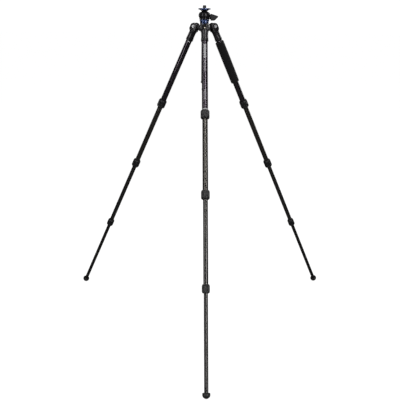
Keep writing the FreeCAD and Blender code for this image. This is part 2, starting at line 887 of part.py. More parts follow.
def levelling_ball(label):
    """The ball, cut flat underneath so that it clears the top plate when it tilts."""
    body = new_body(label)
    radius, flat = d("ball_radius"), d("ball_cut")
    revolve(
        body,
        [
            (0, BALL_CENTRE - flat),
            (leg_of(radius, flat), BALL_CENTRE - flat),
            (radius, BALL_CENTRE, radius, 1),
            (0, BALL_CENTRE + radius, radius, 1),
        ],
    )
    return body


def ball_neck(label):
    """The flared neck on the ball: its hollow underside follows the ball."""
    body = new_body(label)
    low = BALL_CENTRE + NECK_LOW
    revolve(
        body,
        [
            (0, BALL_CENTRE + BALL_SEAT),
            (leg_of(BALL_SEAT, NECK_LOW), low, BALL_SEAT, -1),
            (NECK_FOOT, low),
            (NECK_WAIST, low + d("neck_flare")),
            (NECK_TOP_RADIUS, NECK_TOP),
            (0, NECK_TOP),
        ],
    )
    return body


def camera_platform(label):
    """The round plate that a camera stands on, bored for the screw."""
    body = new_body(label)
    bore, wide = d("screw_diameter") / 2, NECK_TOP_RADIUS + d("platform_overhang")
    low, high, cut = PLATFORM_LOW, PLATFORM_HIGH, d("platform_chamfer")
    sink = high - d("screw_sink")
    seat, floor = d("cap_diameter") / 2 + d("cap_seat_gap"), high - d("platform_recess")
    revolve(
        body,
        [
            (0, low),
            (wide - cut, low),
            (wide, low + cut),
            (wide, high - cut),
            (wide - cut, high),
            (seat, high),
            (seat, floor),
            (bore, floor),
            (bore, sink),
            (0, sink),
        ],
    )
    return body


def camera_screw(label):
    body = new_body(label)
    radius, cut = d("screw_diameter") / 2, d("platform_chamfer")
    low, high = PLATFORM_HIGH - d("screw_sink"), PLATFORM_HIGH + d("screw_rise")
    revolve(body, [(0, low), (radius, low), (radius, high - cut), (radius - cut, high), (0, high)])
    return body


def screw_cap(label):
    """The push-on cap over the camera screw."""
    body = new_body(label)
    inside = d("screw_diameter") / 2 + d("running_gap")
    wide, cut = d("cap_diameter") / 2, d("cap_chamfer")
    low = PLATFORM_HIGH - d("platform_recess") + d("stop_gap")
    hollow = PLATFORM_HIGH + d("screw_rise") + d("end_gap")
    high = hollow + d("cap_top")
    revolve(
        body,
        [
            (inside, low),
            (wide, low),
            (wide, high - cut),
            (wide - cut, high),
            (0, high),
            (0, hollow),
            (inside, hollow),
        ],
    )
    return body


def lock_knob_screw(label):
    """The steel screw that the lock knob drives against the ball."""
    body = new_body(label)
    radius = d("knob_shaft_diameter") / 2
    middle = (SCREW_INNER + SCREW_OUTER) / 2
    sketch = draw_circle(body, "YZ_Plane", 0, KNOB_HEIGHT, radius, lift=middle)
    extrude(body, sketch, SCREW_OUTER - SCREW_INNER)
    return body


def lock_knob(label):
    """The wing-shaped lock knob: flat sides, one long slope on top and a steep one below."""
    body = new_body(label)
    half, tip = d("knob_half_width"), KNOB_INNER + d("knob_length")
    outline = [
        (KNOB_INNER, KNOB_HEIGHT - half),
        (KNOB_INNER + d("knob_shoulder"), KNOB_HEIGHT - half),
        (tip, KNOB_HEIGHT),
        (tip, KNOB_HEIGHT + d("knob_tip_height")),
        (KNOB_INNER, KNOB_HEIGHT + half),
    ]
    wing = extrude(body, draw(body, "XZ_Plane", outline), d("knob_thickness"))
    half_thick = d("knob_thickness").value / 2

    def on_flat_side(edge):
        return all(abs(abs(v.Y) - half_thick) < 1e-4 for v in edge.Vertexes)

    round_edges(body, wing, on_flat_side, d("knob_round"))
    shaft = d("knob_shaft_diameter") / 2
    middle = (SCREW_OUTER + KNOB_INNER) / 2
    hole = draw_circle(body, "YZ_Plane", 0, KNOB_HEIGHT, shaft, lift=middle)
    extrude(body, hole, d("knob_shaft_grip"), kind="Pocket")
    return body


# ---- the assembly ----


def build_leg(side, azimuth):
    """One leg's pieces, all placed alike."""
    pieces = [
        leg_crown(f"{side}_leg_crown"),
        crown_ring(f"{side}_crown_ring"),
        angle_tab(f"{side}_angle_lock_tab"),
        foot(f"{side}_foot"),
    ]
    for section in (1, 2, 3, 4):
        pieces.append(leg_tube(f"{side}_leg_tube_{section}", section))
    for section in (1, 2, 3):
        pieces.append(twist_lock(f"{side}_twist_lock_{section}", section))
        pieces.append(shims(f"{side}_guide_shims_{section + 1}", section + 1))
    if side == GRIP_LEG:
        pieces.append(grip(f"{side}_foam_grip"))
    for piece in pieces:
        place_on_leg(piece, azimuth)
    return pieces


def build_centre():
    """The spider with its bolts, the column and the head."""
    cast = [spider("spider"), hinge_bolts("hinge_bolts")]
    for piece in cast:
        place_on_axis(piece, LEGS[0][1])
    pieces = [
        column_collar("column_lock_collar"),
        centre_column("centre_column"),
        top_plate("column_top_plate"),
        column_end_cap("column_end_cap"),
        weight_hook("weight_hook"),
        pan_base("head_pan_base"),
        head_housing("head_housing"),
        levelling_ball("levelling_ball"),
        ball_neck("ball_neck"),
        camera_platform("camera_platform"),
        camera_screw("camera_screw"),
        screw_cap("screw_cap"),
        lock_knob_screw("lock_knob_screw"),
        lock_knob("lock_knob"),
    ]
    for piece in pieces:
        place_on_axis(piece)
    return cast + pieces


def check(pieces):
    """Stops if any object failed to build or any piece isn't a sound solid."""
    for item in DOC.Objects:
        bad = {"Invalid", "Error"} & set(item.State)
        if bad:
            raise RuntimeError(f"{item.Name} is {sorted(bad)}")
    for piece in pieces:
        shape = piece.Shape
        if shape.isNull() or not shape.isValid() or not shape.Solids:
            raise RuntimeError(f"{piece.Label} isn't a valid solid")


def main():
    pieces = build_centre()
    for side, azimuth in LEGS:
        pieces += build_leg(side, azimuth)
    DOC.recompute()
    check(pieces)
    os.makedirs("parts", exist_ok=True)
    for piece in pieces:
        piece.Shape.exportStep(f"parts/{piece.Label}.step")
    print(len(pieces), "pieces written")


main()
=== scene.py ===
"""Looks of the camera tripod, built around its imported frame.

Every outline is in millimetres as (distance from the axis, height, corner rounding), in a place of its own.
A leg's place has its origin at the hinge bolt, z up the leg, x out and up, and y along the bolt. The head's
place has its origin on the tripod's axis at the foot of the head, and the frame's own directions.
"""

import json
import math

import bmesh
import bpy
from mathutils import Matrix, Vector


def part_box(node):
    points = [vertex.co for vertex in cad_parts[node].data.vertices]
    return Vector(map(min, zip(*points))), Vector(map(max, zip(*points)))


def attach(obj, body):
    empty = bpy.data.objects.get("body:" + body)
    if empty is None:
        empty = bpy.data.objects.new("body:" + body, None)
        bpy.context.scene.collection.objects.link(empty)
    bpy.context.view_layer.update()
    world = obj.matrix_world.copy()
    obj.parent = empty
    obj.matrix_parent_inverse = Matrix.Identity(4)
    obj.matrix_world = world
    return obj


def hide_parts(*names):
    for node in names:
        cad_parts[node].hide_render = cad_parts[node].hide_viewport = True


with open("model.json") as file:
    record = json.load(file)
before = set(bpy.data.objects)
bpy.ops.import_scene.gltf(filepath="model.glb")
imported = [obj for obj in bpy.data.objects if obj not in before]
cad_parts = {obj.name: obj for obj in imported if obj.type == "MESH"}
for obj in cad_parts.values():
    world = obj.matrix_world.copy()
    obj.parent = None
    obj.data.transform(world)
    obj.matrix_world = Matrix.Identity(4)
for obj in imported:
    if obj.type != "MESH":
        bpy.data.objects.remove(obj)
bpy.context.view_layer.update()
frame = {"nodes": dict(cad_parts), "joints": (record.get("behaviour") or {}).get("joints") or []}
NODES = frame["nodes"]
JOINTS = {joint["name"]: joint for joint in frame["joints"]}
SIDES = ("front", "right", "left")
MM = 0.001
TURN = 2 * math.pi
SIDE_COUNT = 96  # a turned piece's facets round its axis
BORE_SIDES = 64
TUBE_WALL = 1.0  # a leg tube's, in millimetres like the sizes below
TUBE_FIT = 0.02  # between a leg tube and what is fixed on it
LOCK_SEAT = 26.0  # how far a tube's end goes into its twist lock


# ---- places and measures ----


def leg_place(side):
    """A leg's own place, from its hinge and the direction that its sections slide in."""
    hinge = JOINTS[f"{side}_leg_fold"]
    y = Vector(hinge["axis"]).normalized()
    z = Vector(JOINTS[f"{side}_section_2_slide"]["axis"]).normalized()
    matrix = Matrix((y.cross(z), y, z)).transposed().to_4x4()
    matrix.translation = Vector(hinge["pos_m"])
    return matrix


LEG = {side: leg_place(side) for side in SIDES}
HEAD = Matrix.Translation(Vector(JOINTS["head_pan"]["pos_m"]))


def measure(node, place):
    """A CAD node's lowest and highest point along a place's z, and its widest radius, in millimetres."""
    back = place.inverted()
    points = [back @ v.co for v in NODES[node].data.vertices]
    heights = [p.z / MM for p in points]
    return min(heights), max(heights), max(math.hypot(p.x, p.y) for p in points) / MM


# ---- materials ----


def finish(
    name,
    colour,
    rough,
    metal=0.0,
    mottle=None,
    mottle_size=25.0,
    grain=0.4,
    depth=0.02,
    stretch=(1.0, 1.0, 1.0),
    spread=0.08,
    rings=0.0,
    coat=0.0,
    coat_rough=0.15,
    sheen=0.0,
    specular=0.5,
    wear=None,
    carried=False,
):
    """A procedural finish: mottled colour, fine grain in bump and gloss, and turning marks or worn edges.

    Sizes are in millimetres. A carried-over CAD node has no coordinates of its own, and reads its object's.
    """
    made = bpy.data.materials.new(name)
    made.use_nodes = True
    nodes, links = made.node_tree.nodes, made.node_tree.links
    shader = nodes["Principled BSDF"]
    if carried:
        source = nodes.new("ShaderNodeTexCoord").outputs["Object"]
    else:
        own = nodes.new("ShaderNodeAttribute")
        own.attribute_name = "place"
        source = own.outputs["Vector"]
    mapping = nodes.new("ShaderNodeMapping")
    mapping.inputs["Scale"].default_value = stretch
    links.new(source, mapping.inputs["Vector"])

    def noise(size, detail):
        node = nodes.new("ShaderNodeTexNoise")
        node.inputs["Scale"].default_value = 1 / (size * MM)
        node.inputs["Detail"].default_value = detail
        links.new(mapping.outputs["Vector"], node.inputs["Vector"])
        return node.outputs["Fac"]

    broad, fine = noise(mottle_size, 3.0), noise(grain, 4.0)
    ramp = nodes.new("ShaderNodeValToRGB")
    ramp.color_ramp.elements[0].position = 0.35
    ramp.color_ramp.elements[1].position = 0.68
    ramp.color_ramp.elements[0].color = (*colour, 1)
    ramp.color_ramp.elements[1].color = (*(mottle or [c * 1.35 for c in colour]), 1)
    links.new(broad, ramp.inputs["Fac"])
    tone = ramp.outputs["Color"]
    if wear:
        geometry = nodes.new("ShaderNodeNewGeometry")
        edge = nodes.new("ShaderNodeMapRange")
        edge.inputs["From Min"].default_value = 0.52
        edge.inputs["From Max"].default_value = 0.62
        links.new(geometry.outputs["Pointiness"], edge.inputs["Value"])
        patchy = nodes.new("ShaderNodeMath")
        patchy.operation = "MULTIPLY"
        links.new(edge.outputs["Result"], patchy.inputs[0])
        links.new(broad, patchy.inputs[1])
        mix = nodes.new("ShaderNodeMix")
        mix.data_type = "RGBA"
        mix.inputs["B"].default_value = (*wear, 1)
        links.new(patchy.outputs["Value"], mix.inputs["Factor"])
        links.new(tone, mix.inputs["A"])
        tone = mix.outputs["Result"]
    links.new(tone, shader.inputs["Base Color"])
    gloss = nodes.new("ShaderNodeMapRange")
    gloss.inputs["To Min"].default_value = max(rough - spread, 0.04)
    gloss.inputs["To Max"].default_value = min(rough + spread, 1.0)
    links.new(fine, gloss.inputs["Value"])
    links.new(gloss.outputs["Result"], shader.inputs["Roughness"])
    height = fine
    if rings:
        wave = nodes.new("ShaderNodeTexWave")
        wave.wave_type = "RINGS"
        wave.rings_direction = "Z"
        wave.inputs["Scale"].default_value = TURN / (20 * rings * MM)
        wave.inputs["Distortion"].default_value = 0.6
        links.new(source, wave.inputs["Vector"])
        total = nodes.new("ShaderNodeMath")
        total.operation = "ADD"
        links.new(fine, total.inputs[0])
        links.new(wave.outputs["Fac"], total.inputs[1])
        height = total.outputs["Value"]
    bump = nodes.new("ShaderNodeBump")
    bump.inputs["Distance"].default_value = depth * MM
    links.new(height, bump.inputs["Height"])
    links.new(bump.outputs["Normal"], shader.inputs["Normal"])
    shader.inputs["Metallic"].default_value = metal
    shader.inputs["Specular IOR Level"].default_value = specular
    shader.inputs["Coat Weight"].default_value = coat
    shader.inputs["Coat Roughness"].default_value = coat_rough
    shader.inputs["Sheen Weight"].default_value = sheen
    return made


ALONG = (1.0, 1.0, 0.04)
TUBE_TONES = (
    ((0.058, 0.05, 0.06), (0.07, 0.061, 0.073)),
    ((0.075, 0.07, 0.064), (0.092, 0.086, 0.079)),
    ((0.07, 0.067, 0.065), (0.085, 0.082, 0.079)),
    ((0.05, 0.048, 0.047), (0.064, 0.061, 0.06)),
)
TUBES = [
    finish(
        f"satin_anodised_tube_{n}",
        tone,
        0.16,
        metal=0.9,
        mottle=light,
        mottle_size=14,
        grain=0.2,
        depth=0.001,
        stretch=ALONG,
        spread=0.04,
    )
    for n, (tone, light) in enumerate(TUBE_TONES, start=1)
]
CASTING = finish(
    "powder_coated_casting",
    (0.008, 0.007, 0.009),
    0.3,
    mottle=(0.012, 0.011, 0.013),
    grain=0.3,
    depth=0.02,
    wear=(0.1, 0.095, 0.1),
    specular=0.6,
)
CASTING_CARRIED = finish(
    "powder_coated_casting_carried",
    (0.008, 0.007, 0.009),
    0.3,
    mottle=(0.012, 0.011, 0.013),
    grain=0.3,
    depth=0.02,
    specular=0.6,
    carried=True,
)
LOCK_RUBBER = finish(
    "lock_rubber",
    (0.005, 0.005, 0.006),
    0.38,
    mottle=(0.009, 0.009, 0.01),
    mottle_size=6,
    grain=0.25,
    depth=0.02,
)
FOOT_RUBBER = finish(
    "foot_rubber",
    (0.007, 0.007, 0.008),
    0.5,
    mottle=(0.018, 0.017, 0.017),
    mottle_size=9,
    grain=0.35,
    depth=0.05,
    wear=(0.05, 0.048, 0.045),
)
RING_GLOSS = finish("moulded_ring", (0.005, 0.005, 0.006), 0.25, grain=0.6, depth=0.006, spread=0.05)
TAB_BLACK = finish(
    "anodised_tab",
    (0.012, 0.011, 0.01),
    0.3,
    metal=0.6,
    mottle=(0.02, 0.018, 0.016),
    mottle_size=5,
    grain=0.2,
)
BOLT_STEEL = finish(
    "bolt_steel", (0.5, 0.5, 0.51), 0.5, metal=0.85, mottle_size=4, grain=0.25, depth=0.012, carried=True
)
FOAM = finish(
    "closed_cell_foam",
    (0.002, 0.002, 0.0025),
    0.85,
    mottle=(0.004, 0.004, 0.0045),
    mottle_size=4,
    grain=0.7,
    depth=0.25,
    sheen=0.1,
    specular=0.25,
)
SHIM = finish(
    "nylon_shim", (0.55, 0.54, 0.5), 0.5, mottle=(0.62, 0.6, 0.56), grain=0.5, depth=0.01, carried=True
)
BLUE = finish(
    "blue_anodised",
    (0.02, 0.045, 0.14),
    0.24,
    metal=0.75,
    mottle=(0.026, 0.055, 0.165),
    mottle_size=8,
    grain=0.25,
    depth=0.006,
    rings=0.6,
    spread=0.06,
    coat=1.0,
    coat_rough=0.16,
)
# The neck's near-black blue: partly its own darker anodising, partly painted shade under the plate.
NAVY_AND_SHADE = finish(
    "dark_blue_anodised_and_painted_shade",
    (0.003, 0.007, 0.024),
    0.3,
    metal=0.8,
    mottle=(0.004, 0.009, 0.03),
    mottle_size=8,
    grain=0.25,
    depth=0.006,
    rings=0.6,
)
HEAD_BLACK = finish(
    "black_anodised",
    (0.012, 0.0115, 0.013),
    0.3,
    metal=0.6,
    mottle=(0.017, 0.016, 0.018),
    mottle_size=9,
    grain=0.25,
    depth=0.008,
    rings=0.7,
)
KNOB_RUBBER = finish(
    "knob_rubber",
    (0.008, 0.008, 0.009),
    0.4,
    mottle=(0.014, 0.014, 0.015),
    mottle_size=5,
    grain=0.3,
    depth=0.02,
)
STEEL = finish("turned_steel", (0.55, 0.55, 0.56), 0.25, metal=1.0, grain=0.2, depth=0.008, mottle_size=5)
STEEL_CARRIED = finish(
    "drawn_steel", (0.55, 0.55, 0.56), 0.28, metal=1.0, grain=0.2, depth=0.01, mottle_size=5, carried=True
)
CAP_PLASTIC = finish("moulded_cap", (0.013, 0.013, 0.014), 0.42, grain=0.25, depth=0.015)
# A cream colour that paints a highlight on the tab's pin near its lip.
CREAM_HIGHLIGHT = finish("cream_painted_highlight", (0.7, 0.66, 0.54), 0.45, mottle=(0.78, 0.74, 0.62), mottle_size=3, grain=0.3)
# A white line painted on the left tube as a highlight where its sleeve ring ends.
HIGHLIGHT_WHITE = finish(
    "painted_highlight_line", (0.75, 0.75, 0.75), 0.5, mottle=(0.85, 0.85, 0.85), mottle_size=3, grain=0.3
)
PRINT = finish("printed_marks", (0.36, 0.36, 0.37), 0.6, mottle=(0.5, 0.5, 0.51), mottle_size=3, grain=0.3)


# ---- meshes ----


def soften(outline, steps=4):
    """A closed outline's points, with a short curve at each corner that has a rounding."""
    corners = [(Vector(c[:2]), c[2] if len(c) > 2 else 0) for c in outline]
    points = []
    for i, (corner, rounding) in enumerate(corners):
        if rounding <= 0:
            points.append(tuple(corner))
            continue
        before = corners[i - 1][0] - corner
        after = corners[(i + 1) % len(corners)][0] - corner
        cut = min(rounding, before.length * 0.48, after.length * 0.48)
        start, end = corner + before.normalized() * cut, corner + after.normalized() * cut
        for step in range(steps + 1):
            t = step / steps
            points.append(tuple(start * (1 - t) ** 2 + corner * (2 * t * (1 - t)) + end * t**2))
    return points


def turned(outline, form=None, sides=SIDE_COUNT, steps=4):
    """A closed outline turned about z; form(angle, radius, height) may change a point's radius."""
    points = soften(outline, steps)
    mesh = bmesh.new()
    rows = []
    for i in range(sides):
        angle = TURN * i / sides
        row = []
        for radius, height in points:
            reach = form(angle, radius, height) if form and radius > 0 else radius
            spot = (reach * math.cos(angle), reach * math.sin(angle), height)
            row.append(mesh.verts.new(Vector(spot) * MM))
        rows.append(row)
    for i, row in enumerate(rows):
        following = rows[(i + 1) % sides]
        for k, point in enumerate(points):
            m = (k + 1) % len(points)
            if point[0] <= 0 and points[m][0] <= 0:
                continue
            mesh.faces.new((row[k], following[k], following[m], row[m]))
    bmesh.ops.remove_doubles(mesh, verts=mesh.verts, dist=1e-7)
    bmesh.ops.recalc_face_normals(mesh, faces=mesh.faces)
    return mesh


def prism(outline, low, high, bevel, steps=3):
    """A closed outline in x and z given thickness along y, with every edge of its two faces rounded."""
    mesh = bmesh.new()
    points = soften(outline, 6)

    near = [mesh.verts.new(Vector((x, low, z)) * MM) for x, z in points]
    far = [mesh.verts.new(Vector((x, high, z)) * MM) for x, z in points]
    mesh.faces.new(near)
    mesh.faces.new(far)
    for i in range(len(points)):
        k = (i + 1) % len(points)
        mesh.faces.new((near[i], near[k], far[k], far[i]))
    bmesh.ops.recalc_face_normals(mesh, faces=mesh.faces)
    if not bevel:
        return mesh
    low_edge = low * MM + 1e-7
    high_edge = high * MM - 1e-7
    rims = [
        e
        for e in mesh.edges
        if all(v.co.y < low_edge for v in e.verts) or all(v.co.y > high_edge for v in e.verts)
    ]
    bmesh.ops.bevel(mesh, geom=rims, offset=bevel * MM, segments=steps, profile=0.5, affect="EDGES")
    return mesh


def cylinder_y(radius, low, high):
    """A plain cutter along y."""
    mesh = bmesh.new()
    rings = []
    for across in (low, high):
        ring = []
        for i in range(BORE_SIDES):
            angle = TURN * i / BORE_SIDES
            spot = Vector((radius * math.cos(angle), across, radius * math.sin(angle)))
            ring.append(mesh.verts.new(spot * MM))
        rings.append(ring)
    for i in range(BORE_SIDES):
        k = (i + 1) % BORE_SIDES
        mesh.faces.new((rings[0][i], rings[0][k], rings[1][k], rings[1][i]))
    mesh.faces.new(rings[0])
    mesh.faces.new(rings[1])
    bmesh.ops.recalc_face_normals(mesh, faces=mesh.faces)
    return mesh


def cylinder_x(radius, low, high, height, bevel=0.0):
    """A cylinder along x at a height, with a rounded outer rim if asked."""
    mesh = turned([(0, low), (radius, low), (radius, high, bevel), (0, high)], sides=BORE_SIDES)
    bmesh.ops.transform(mesh, matrix=Matrix.Rotation(math.pi / 2, 4, "Y"), verts=mesh.verts)
    bmesh.ops.translate(mesh, vec=Vector((0, 0, height * MM)), verts=mesh.verts)
    return mesh


def show(name, mesh, place, body, material, replaced=(), sharp=32, cutters=(), joined=()):
    """Makes one piece from a mesh in a place, and says what it rides on and stands for."""
    mesh = combine(mesh, joined, cutters)
    data = bpy.data.meshes.new(name)
    mesh.to_mesh(data)
    mesh.free()
    own = data.attributes.new("place", "FLOAT_VECTOR", "POINT")
    own.data.foreach_set("vector", [c for v in data.vertices for c in v.co])
    data.transform(place)
    data.polygons.foreach_set("use_smooth", [True] * len(data.polygons))
    data.set_sharp_from_angle(angle=math.radians(sharp))
    data.materials.append(material)
    piece = bpy.data.objects.new(name, data)
    bpy.context.scene.collection.objects.link(piece)
    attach(piece, body)
    if replaced:
        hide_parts(*replaced)
    return piece


def combine(mesh, joined, cutters):
    """The mesh with others joined to it and cut from it, as one closed surface."""
    if not joined and not cutters:
        return mesh
    objects = []
    for part in (mesh, *joined, *cutters):
        data = bpy.data.meshes.new("part")
        part.to_mesh(data)
        part.free()
        objects.append(bpy.data.objects.new("part", data))
        bpy.context.scene.collection.objects.link(objects[-1])
    base = objects[0]
    for i, other in enumerate(objects[1:], start=1):
        step = base.modifiers.new("step", "BOOLEAN")
        step.operation = "UNION" if i <= len(joined) else "DIFFERENCE"
        step.solver = "EXACT"
        step.object = other
    bpy.context.view_layer.update()
    graph = bpy.context.evaluated_depsgraph_get()
    result = bmesh.new()
    result.from_mesh(bpy.data.meshes.new_from_object(base.evaluated_get(graph)))
    for made in objects:
        bpy.data.objects.remove(made)
    bmesh.ops.remove_doubles(result, verts=result.verts, dist=1e-6)
    return result


def ripple(count, depth, low, high, ease, sharpness=1.0):
    """A form for turned(): grooves down the outside between two heights, dying out at both ends."""

    def form(angle, radius, height):
        inside = min(height - low, high - height) / ease
        if inside <= 0:
            return radius
        share = min(inside, 1.0)
        groove = (0.5 - 0.5 * math.cos(count * angle)) ** sharpness
        return radius - depth * share * share * (3 - 2 * share) * groove

    return form


# ---- legs ----


def make_tube(side, section):
    """One tube of a leg, open at both ends."""
    node = f"{side}_leg_tube_{section}"
    low, high, radius = measure(node, LEG[side])
    bore = radius - TUBE_WALL
    outline = [
        (bore, low, 0.3),
        (radius, low, 0.4),
        (radius, high, 0.4),
        (bore, high, 0.3),
    ]
    body = f"{side}_leg" if section == 1 else f"{side}_section_{section}"
    show(f"{side}_tube_{section}", turned(outline), LEG[side], body, TUBES[section - 1], [node])
    return low, high, radius


def make_lock(side, number):
    """A twist lock: a ribbed rubber sleeve between two smooth collars."""
    node = f"{side}_twist_lock_{number}"
    low, high, radius = measure(node, LEG[side])
    above = measure(f"{side}_leg_tube_{number}", LEG[side])[2]
    below = measure(f"{side}_leg_tube_{number + 1}", LEG[side])[2]
    gap = 0.1  # round the tubes
    collar = 5.0  # each smooth end's length
    neck = radius - 1.3
    groove = 0.5
    step = collar + groove * 1.6  # where the ribbed sleeve starts
    seat = high - LOCK_SEAT
    outline = [
        (below + gap, low, 0.4),
        (radius - 4.2, low, 0.8),
        (neck, low + 2.6, 0.9),
        (neck, low + collar - groove, 0.3),
        (neck - groove, low + collar, 0.2),
        (radius, low + step, 0.7),
        (radius, high - step, 0.7),
        (neck - groove, high - collar, 0.2),
        (neck, high - collar + groove, 0.3),
        (neck, high - 2.2, 0.9),
        (radius - 3.6, high, 0.8),
        (above + gap, high, 0.4),
        (above + gap, seat),
        (below + gap, seat),
    ]
    # extra rows inside the sleeve let its ribs end softly
    rows = [low + collar + 2.2, low + collar + 3.6, high - collar - 3.6, high - collar - 2.2]
    outline[6:6] = [(radius, height) for height in rows]
    form = ripple(30, 0.9, low + collar + 0.6, high - collar - 0.6, 2.4, 1.6)
    mesh = turned(outline, form, sides=240, steps=3)
    body = f"{side}_lock_{number}"
    show(f"{body}_sleeve", mesh, LEG[side], body, LOCK_RUBBER, [node])


def make_foot(side):
    """A ball foot with a collar, a waist groove and tread rings under it."""
    node = f"{side}_foot"
    low, high, radius = measure(node, LEG[side])
    tube = measure(f"{side}_leg_tube_4", LEG[side])
    centre = low + radius
    socket, bore = tube[0], tube[2] + 0.05
    rim = math.sqrt(radius**2 - (high - centre) ** 2)
    outline = [(bore, high, 0.3), (rim - 0.3, high, 1.0)]
    count = 26
    waist_rows, first_tread = (3, 4), 14
    start = math.asin((high - 1.4 - centre) / radius)
    for i in range(count):
        lean = start - (start + math.pi / 2) * i / count
        tread = 0.7 if i >= first_tread and i % 3 == 1 else 0.0
        waist = 0.8 if i in waist_rows else 0.0
        reach = radius - tread - waist
        outline.append((reach * math.cos(lean), centre + reach * math.sin(lean)))
    outline += [(0, low), (0, socket), (bore, socket)]
    body = f"{side}_section_4"
    show(f"{side}_ball_foot", turned(outline), LEG[side], body, FOOT_RUBBER, [node])


def make_crown_ring(side):
    """The fluted ring where the crown's sleeve meets the tube."""
    node = f"{side}_crown_ring"
    low, high, radius = measure(node, LEG[side])
    inner = measure(f"{side}_leg_tube_1", LEG[side])[2] + TUBE_FIT
    outline = [
        (inner, low, 0.3),
        (radius - 0.4, low, 0.9),
        (radius, low + 2.2, 0.5),
        (radius, high - 0.8, 0.5),
        (radius - 0.5, high, 0.3),
        (inner, high, 0.3),
    ]
    form = ripple(48, 0.25, low + 1.6, high - 0.8, 1.2)
    mesh = turned(outline, form, sides=288)
    show(f"{side}_sleeve_ring", mesh, LEG[side], f"{side}_leg", RING_GLOSS, [node])


def make_grip():
    """The foam sleeve: rounded ends, a slight swell, and the pores' fine unevenness."""
    node = "right_foam_grip"
    low, high, radius = measure(node, LEG["right"])
    inner = measure("right_leg_tube_1", LEG["right"])[2] + TUBE_FIT
    rows, end, swell, lump = 60, 2.5, 0.5, 0.12
    side = radius - 0.6
    outline = [(inner, low, 0.6), (side, low, 2.4)]
    for i in range(1, rows):
        share = i / rows
        height = low + end + (high - low - 2 * end) * share
        outline.append((side + swell * math.sin(math.pi * share), height))
    outline += [(side, high, 2.4), (inner, high, 0.6)]

    def form(angle, reach, height):
        if reach < radius - 3:
            return reach
        lumps = math.sin(5 * angle + height * 0.11) * math.sin(3 * angle - height * 0.07)
        return reach - lump + lump * lumps

    mesh = turned(outline, form)
    grip = show("foam_sleeve", mesh, LEG["right"], "right_leg", FOAM, [node], sharp=60)


def brick(mesh, radius, low, high, start, end):
    """Adds a thin curved mark round a tube, between two heights and two angles."""
    sunk, proud = 0.12, 0.05
    steps = max(2, int((end - start) / math.radians(6)))
    rings = []
    for i in range(steps + 1):
        angle = start + (end - start) * i / steps
        ring = []
        for reach, height in (
            (radius - sunk, low),
            (radius + proud, low),
            (radius + proud, high),
            (radius - sunk, high),
        ):
            spot = Vector((reach * math.cos(angle), reach * math.sin(angle), height))
            ring.append(mesh.verts.new(spot * MM))
        rings.append(ring)
    for first, second in zip(rings, rings[1:]):
        for k in range(4):
            m = (k + 1) % 4
            mesh.faces.new((first[k], second[k], second[m], first[m]))
    mesh.faces.new(rings[0])
    mesh.faces.new(rings[-1])


def make_marks():
    """A printed height scale and a ring on the front leg's upper tube, and on the left's a short white line
    that is a painted highlight below its sleeve ring.
    """
    radius = measure("front_leg_tube_1", LEG["front"])[2]
    mesh = bmesh.new()
    # each run: first drop, last drop, pitch, bar height, half width of short and of long bars in degrees
    runs = ((92.5, 161, 4.0, 3.2, 22, 28), (170, 226, 3.2, 1.0, 16, 24), (314, 362, 3.0, 1.1, 18, 26))
    for first, last, pitch, bar, short, long in runs:
        for i in range(int((last - first) / pitch)):
            drop = first + i * pitch
            half = math.radians(long if i % 5 == 0 else short)
            brick(mesh, radius, -drop - bar, -drop, -half, half)
    round_tube = math.pi * 0.98
    brick(mesh, radius, -406.5, -402.0, -round_tube, round_tube)
    bmesh.ops.recalc_face_normals(mesh, faces=mesh.faces)
    show("front_height_scale", mesh, LEG["front"], "front_leg", PRINT)
    mesh = bmesh.new()
    # a painted highlight: a short white strip just below the left leg's sleeve ring
    brick(mesh, radius, -79, -74.5, math.radians(100), math.radians(175))
    bmesh.ops.recalc_face_normals(mesh, faces=mesh.faces)
    show("left_sleeve_painted_highlight", mesh, LEG["left"], "left_leg", HIGHLIGHT_WHITE)


def make_crown(side):
    """The leg's hinge casting: a rounded knuckle slotted for the lug, and a sleeve with a raised band."""
    node = f"{side}_leg_crown"
    tube = measure(f"{side}_leg_tube_1", LEG[side])[2] + TUBE_FIT
    slot_floor, sleeve, sleeve_end, tube_top = -15.5, 16.4, -62.0, -28.0
    ear, ear_end, half_width, half_slot, clear = 17.0, -24.0, 19.0, 9.3, 30.0
    band = sleeve + 0.5
    outline = [
        (0, slot_floor),
        (17.6, -15.9, 1.5),
        (18.4, ear_end, 2.5),
        (sleeve, -32.0, 2.5),
        (sleeve, -44.0),
        (sleeve, -56.6, 0.5),
        (band, -57.2, 0.3),
        (band, -61.4, 0.3),
        (sleeve, sleeve_end, 0.3),
        (tube, sleeve_end, 0.3),
        (tube, tube_top),
        (0, tube_top),
    ]
    knob, rows = [(ear, ear_end, 5.4), (ear, 0)], 24
    for i in range(1, rows):
        angle = math.pi * i / rows
        knob.append((ear * math.cos(angle), ear * math.sin(angle)))
    knob += [(-ear, 0), (-ear, ear_end, 5.4)]
    knuckle = prism(knob, -half_width, half_width, 4.8, steps=6)
    gap = [(-clear, slot_floor), (clear, slot_floor), (clear, clear), (-clear, clear)]
    slot = prism(gap, -half_slot, half_slot, 0)
    bore = cylinder_y(4.1, -clear, clear)
    groove = turned([(15.9, -45.6), (20.0, -45.6), (20.0, -44.8), (15.9, -44.8)])
    show(
        f"{side}_crown_casting",
        knuckle,
        LEG[side],
        f"{side}_leg",
        CASTING,
        [node],
        joined=[turned(outline)],
        cutters=[slot, bore, groove],
    )


